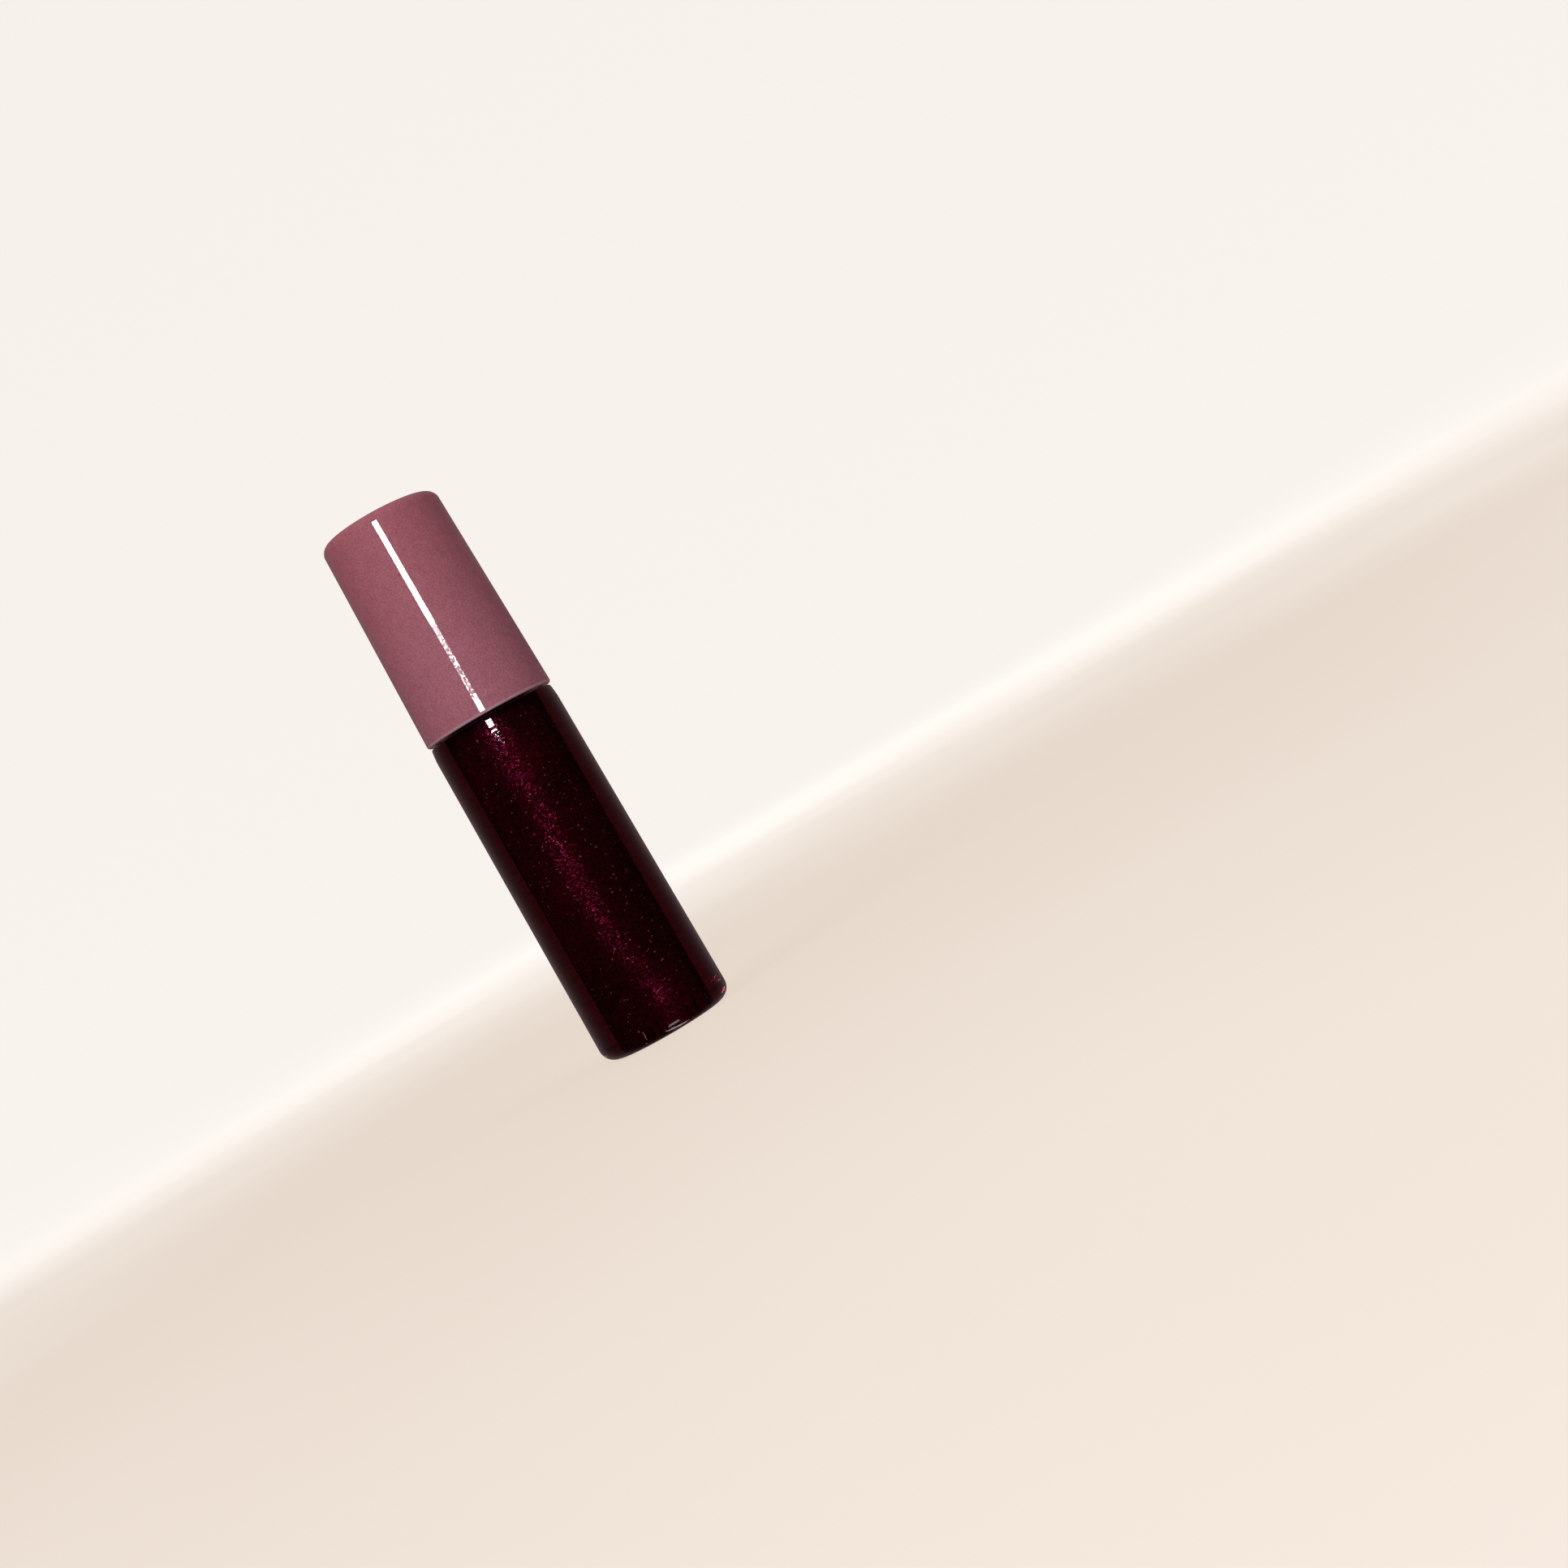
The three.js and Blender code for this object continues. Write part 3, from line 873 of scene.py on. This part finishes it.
@dataclass
class SlipWasher:
    """Foam washer between the liner and the wiper."""

    hole: float = 4.15 * MM
    edge: float = 0.2 * MM

    def build(self) -> bpy.types.Object:
        """A flat ring with softened edges."""
        low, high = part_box("seal_washer")
        rings = [
            Ring(self.hole, low.z, self.edge),
            Ring(high.x, low.z, self.edge),
            Ring(high.x, high.z, self.edge),
            Ring(self.hole, high.z, self.edge),
        ]
        return turn("slip_washer", rings, PLAIN, loop=True, steps=4)

    def dress(self, piece: bpy.types.Object) -> None:
        """Gives the washer its foam."""
        foam = MouldedPlastic("washer_foam", (0.75, 0.72, 0.66), (0.66, 0.62, 0.56), 0.8)
        show(piece, Body.WASHER, Slot.WASHER, foam.material(), "seal_washer")


@dataclass
class Wand:
    """Stem, applicator core and flock sleeve."""

    stem: float = 1.9 * MM
    plug: float = 2.6 * MM
    plug_neck: float = 2.3 * MM  # between the barbs
    barbs: int = 3
    barb_pitch: float = 1.8 * MM
    bore: float = 1.1 * MM
    bore_depth: float = 5 * MM
    pin: float = 1.0 * MM
    slant: float = math.radians(16)
    slant_offset: float = 0.35 * MM
    slant_height: float = 3 * MM  # above the tip, where the offset is measured
    flock_thickness: float = 0.45 * MM
    fibres: int = 2600
    fibre_radius: float = 0.014 * MM
    fibre_root: float = 0.03 * MM
    fibre_lengths: tuple[float, float] = (0.05 * MM, 0.11 * MM)

    def build_stem(self) -> bpy.types.Object:
        """The stem with its sealing disc, barbed plug and bored foot."""
        low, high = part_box("wand_stem")
        washer_low, washer_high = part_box("seal_washer")
        rings = [
            Ring(0.5 * self.bore, low.z + self.bore_depth),
            Ring(self.bore, low.z + self.bore_depth, 0.1 * MM),
            Ring(self.bore, low.z, 0.1 * MM),
            Ring(self.stem, low.z, 0.35 * MM),
            Ring(self.stem, washer_low.z, 0.3 * MM),
            Ring(high.x, washer_low.z, 0.2 * MM),
            Ring(high.x, washer_high.z, 0.2 * MM),
            Ring(self.plug_neck, washer_high.z, 0.1 * MM),
        ]
        for index in range(self.barbs):
            foot = washer_high.z + 1.6 * MM + index * self.barb_pitch
            rings += [
                Ring(self.plug_neck, foot),
                Ring(self.plug, foot + 0.2 * MM, 0.08 * MM),
                Ring(self.plug_neck, foot + 1.2 * MM),
            ]
        rings.append(Ring(self.plug - 0.8 * MM, high.z, 0.3 * MM))
        return turn("stem", rings, PLAIN, steps=4)

    def _slanted(self, piece: bpy.types.Object, offset: float) -> bpy.types.Object:
        """Cuts the slanted face off one side of a tip."""
        tidy_selection()
        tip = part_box("applicator_flock")[0].z
        block_size = (4 * MM, 8 * MM, 24 * MM)
        place = (offset + block_size[0] / 2, 0, tip + self.slant_height)
        bpy.ops.mesh.primitive_cube_add(size=1, location=place, rotation=(0, self.slant, 0))
        block = bpy.context.object
        block.scale = block_size
        bpy.ops.object.transform_apply(location=True, rotation=True, scale=True)
        return cut(piece, block)

    def build_core(self) -> bpy.types.Object:
        """The paddle that the flock sits on, with its pin."""
        low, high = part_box("applicator_core")
        stem_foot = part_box("wand_stem")[0].z
        radius = high.y
        rings = [
            Ring(0.3 * radius, low.z - 0.1 * MM),
            Ring(radius, low.z - 0.1 * MM, 1.1 * MM),
            Ring(radius, stem_foot - 0.3 * MM, 0.15 * MM),
            Ring(self.pin, stem_foot - 0.3 * MM, 0.05 * MM),
            Ring(self.pin, high.z, 0.15 * MM),
        ]
        core = turn("applicator_stub", rings, PLAIN, steps=5)
        return self._slanted(core, self.slant_offset - self.flock_thickness - 0.05 * MM)

    def build_flock(self) -> bpy.types.Object:
        """The felted sleeve, with its loose fibre ends standing off it."""
        low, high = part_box("applicator_flock")
        radius = high.y - 0.08 * MM
        inner = radius - self.flock_thickness + 0.1 * MM
        rings = [
            Ring(0.3 * radius, low.z),
            Ring(radius, low.z, 1.4 * MM),
            Ring(radius, high.z, 0.3 * MM),
            Ring(inner, high.z, 0.05 * MM),
            Ring(inner, low.z + self.flock_thickness, 1.1 * MM),
        ]
        coat = turn("flock_sleeve", rings, PLAIN, steps=6)
        return self._with_fibres(self._slanted(coat, self.slant_offset))

    def _takes_fibres(self, face: bmesh.types.BMFace) -> bool:
        """Whether a face of the sleeve is on its outside or its tip, and not in its bore."""
        centre = face.calc_center_median()
        outside = centre.xy.length > 1.5 * MM or face.normal.z < -0.2
        return outside and face.normal.dot(centre * Vector((1, 1, 0))) > -1e-5

    def _with_fibres(self, coat: bpy.types.Object) -> bpy.types.Object:
        """Adds short fibres over the outside of the sleeve, each a thin three-sided spike."""
        draw = random.Random(SEED)
        shape = bmesh.new()
        shape.from_mesh(coat.data)
        bmesh.ops.triangulate(shape, faces=shape.faces[:])
        faces = [face for face in shape.faces if self._takes_fibres(face)]
        total = sum(f.calc_area() for f in faces)
        spikes = []
        for face in faces:
            share = self.fibres * face.calc_area() / total
            count = int(share) + (draw.random() < share - int(share))
            a, b, c = (v.co.copy() for v in face.verts)
            for _ in range(count):
                u, v = sorted((draw.random(), draw.random()))
                spikes.append((a * u + b * (v - u) + c * (1 - v), face.normal.copy()))
        for root, normal in spikes:
            lean = Vector((draw.uniform(-1, 1), draw.uniform(-1, 1), draw.uniform(-1, 1))) * 0.5
            way = (normal + lean).normalized()
            side = way.orthogonal().normalized() * self.fibre_radius
            other = way.cross(side)
            foot = root - way * self.fibre_root
            ring = [foot + side * math.cos(t) + other * math.sin(t) for t in (0.0, 2.1, 4.2)]
            tip = shape.verts.new(root + way * draw.uniform(*self.fibre_lengths))
            base = [shape.verts.new(p) for p in ring]
            for one, two in zip(base, base[1:] + base[:1]):
                shape.faces.new((one, two, tip))
            shape.faces.new(base[::-1])
        shape.to_mesh(coat.data)
        shape.free()
        return coat

    def dress(self, stem: bpy.types.Object, core: bpy.types.Object, flock: bpy.types.Object) -> None:
        """Gives the wand's three pieces their finishes."""
        wet = MouldedPlastic("stem_plastic", (0.030, 0.004, 0.010), (0.016, 0.003, 0.006), 0.35, coat=0.8)
        milky = MouldedPlastic("core_plastic", (0.60, 0.55, 0.50), (0.50, 0.44, 0.40), 0.45)
        show(stem, Body.CAP, Slot.STEM, wet.material(), "wand_stem")
        show(core, Body.CAP, Slot.SOFT, milky.material(), "applicator_core")
        show(flock, Body.CAP, Slot.FLOCK, WetFlock().material(), "applicator_flock")


# ---------------------------------------------------------------- stage, light and camera


@dataclass
class Studio:
    """Pale glowing floor that sweeps up all round, with painted shade near its middle, strip lights, soft
    fills and a dim room, in metres.
    """

    reach: float = 1.3
    wall: float = 1.8
    sweep: float = 0.6
    paper: Colour = (0.15, 0.143, 0.135)
    pale: Colour = (0.905, 0.858, 0.812)
    # Colour of the painted shade that the floor glows with near its middle, round the object.
    painted_shade_beige: Colour = (0.670, 0.578, 0.495)
    room: Colour = (0.012, 0.008, 0.008)
    room_back: Colour = (0.31, 0.193, 0.203)
    strip_distance: float = 0.5
    strip_azimuth: float = -0.106
    # The front strip's panels: each one's foot, top, brightness and width.
    panels: tuple[tuple[float, float, float, float], ...] = (
        (0.104, 0.118, 130, 0.078), (0.118, 0.147, 95, 0.070), (0.147, 0.215, 130, 0.086),
    )
    low_distance: float = 0.15
    low_aim: Triple = (0.001, -0.009, 0.001)
    # The low strips: degrees under the horizon, offset to the right, width, height and brightness.
    low_strips: tuple[tuple[float, float, float, float, float], ...] = (
        (56.5, 0.021, 0.042, 0.050, 7), (99.5, 0.011, 0.022, 0.080, 9),
    )
    fill_aim: Triple = (0, 0, 0.045)
    # The fills, which shiny surfaces don't mirror: name, place, side and brightness.
    fills: tuple[tuple[str, Triple, float, float], ...] = (
        ("fill_left", (-0.45, -0.40, 0.32), 0.5, 9.5),
        ("fill_right", (0.50, -0.25, 0.32), 0.5, 5.0),
        ("fill_back", (0.1, 0.60, 0.34), 0.5, 5.0),
        ("fill_top", (0, 0, 0.8), 0.8, 4.3),
        ("fill_low", (0, -0.25, -0.30), 0.4, 2.4),
    )

    def build_stage(self) -> None:
        """The floor and its sweep, as one bowl."""
        tidy_selection()
        bpy.ops.mesh.primitive_circle_add(vertices=128, radius=self.reach, fill_type="TRIFAN")
        bowl = bpy.context.object
        bowl.name = "stage_bowl"
        bpy.ops.object.mode_set(mode="EDIT")
        floor = Ring(self.reach, 0)
        pick_edges(bowl, on_ring(floor))
        bpy.ops.mesh.extrude_edges_move(TRANSFORM_OT_translate={"value": (0, 0, self.wall)})
        pick_edges(bowl, on_ring(floor))
        bpy.ops.mesh.bevel(offset=self.sweep, offset_type="OFFSET", segments=24, profile=0.5, affect="EDGES",
                           clamp_overlap=False)
        bpy.ops.object.mode_set(mode="OBJECT")
        bpy.ops.object.shade_smooth()
        sheet = Finish("stage_paper")
        drift = sheet.noise(0.18, 2.0, 0.5, sheet.stretched((1.0, 1.0, 3.0)))
        away = sheet.node("ShaderNodeVectorMath", {"operation": "LENGTH"}, {0: sheet.place})
        far = Wire(sheet, away.outputs["Value"]) + (drift - 0.5) * 0.25
        # Painted shade: the floor glows a darker, warmer beige near the middle, round the object's foot, and
        # pale further out.
        paper = sheet.finish(
            Base_Color=self.paper,
            Roughness=0.9,
            Specular_IOR_Level=0.0,
            Emission_Color=sheet.blend(far.above(0.08, 0.55), self.painted_shade_beige, self.pale),
            Emission_Strength=1.0,
        )
        bowl.data.materials.append(paper)
        # Only the camera sees the bowl, and the low lamps shine through it.
        bowl.visible_glossy = False
        bowl.visible_transmission = False
        bowl.visible_diffuse = False
        bowl.visible_shadow = False

    def build_room(self) -> None:
        """The dim room that glossy surfaces mirror, a little lighter at the back."""
        world = bpy.data.worlds.new("dim_room")
        world.use_nodes = True
        bpy.context.scene.world = world
        sheet = Sheet(world.node_tree)
        way = Wire(sheet, sheet.spot.outputs["Generated"])
        ahead = sheet.math("MAXIMUM", sheet.channel(way, 1), 0.0)
        back = ahead ** 2 * (1 - ahead ** 12 * 0.7)
        background = world.node_tree.nodes["Background"]
        sheet.feed(background.inputs["Color"], sheet.blend(back, self.room, self.room_back))

    def light(self, name: str, place: Vector, aim: Vector, size: tuple[float, float], glow: float,
              glossy: bool = True) -> bpy.types.Object:
        """One rectangular light, of a width and height, with a glow in watts for each square metre."""
        data = bpy.data.lights.new(name, "AREA")
        data.shape = "RECTANGLE"
        data.size, data.size_y = size
        data.energy = glow * size[0] * size[1]
        lamp = bpy.data.objects.new(name, data)
        bpy.context.scene.collection.objects.link(lamp)
        lamp.location = place
        lamp.rotation_euler = (aim - place).to_track_quat("-Z", "Y").to_euler()
        lamp.visible_glossy = glossy
        lamp.visible_transmission = glossy
        lamp.visible_camera = False
        return lamp

    def build_lights(self) -> None:
        """The front strip in panels, two low strips for the foot, and the fills."""
        x, y = math.sin(self.strip_azimuth), -math.cos(self.strip_azimuth)
        for index, (low, high, glow, width) in enumerate(self.panels):
            place = Vector((self.strip_distance * x, self.strip_distance * y, (low + high) / 2))
            self.light(f"strip_front_{index}", place, Vector((0, 0, place.z)), (width, high - low), glow)
        foot = Vector(self.low_aim)
        for index, (steep, aside, width, height, glow) in enumerate(self.low_strips):
            steep = math.radians(steep)
            back, down = self.low_distance * math.cos(steep), self.low_distance * math.sin(steep)
            place = foot + Vector((aside, -back, -down))
            lamp = self.light(f"strip_low_{index}", place, foot, (width, height), glow)
            lamp.visible_transmission = False
        for name, place, side, glow in self.fills:
            self.light(name, Vector(place), Vector(self.fill_aim), (side, side), glow, glossy=False)


@dataclass
class View:
    """The camera: where it stands and what it looks at, in metres, its roll, and its lens in millimetres."""

    place: Triple = (0, -0.3147, 0.0281)
    aim: Triple = (0.0306, 0, 0.0214)
    roll: float = math.radians(29.79)
    lens: float = 52.17
    sensor: float = 36

    def build(self) -> None:
        """Sets the scene's camera."""
        data = bpy.data.cameras.new("camera")
        data.lens = self.lens
        data.sensor_width = self.sensor
        data.clip_start = 5 * MM
        camera = bpy.data.objects.new("camera", data)
        bpy.context.scene.collection.objects.link(camera)
        place = Vector(self.place)
        turned = (Vector(self.aim) - place).to_track_quat("-Z", "Y") @ Quaternion((0, 0, 1), -self.roll)
        camera.matrix_world = Matrix.LocRotScale(place, turned, None)
        bpy.context.scene.camera = camera


def main() -> None:
    """Builds the object, its stage, lights and camera."""
    logging.basicConfig(level=logging.INFO, format="%(name)s: %(message)s")
    bpy.context.scene.view_settings.view_transform = "Standard"
    View().build()
    tube = Tube()
    tube.dress(tube.build())
    gloss = Gloss()
    gloss.dress(gloss.build(tube))
    wiper = Wiper()
    wiper.dress(wiper.build(tube))
    shell = CapShell()
    shell.dress(shell.build())
    liner = Liner()
    liner.dress(liner.build())
    washer = SlipWasher()
    washer.dress(washer.build())
    wand = Wand()
    wand.dress(wand.build_stem(), wand.build_core(), wand.build_flock())
    studio = Studio()
    studio.build_stage()
    studio.build_room()
    studio.build_lights()


if __name__ == "__main__":
    main()
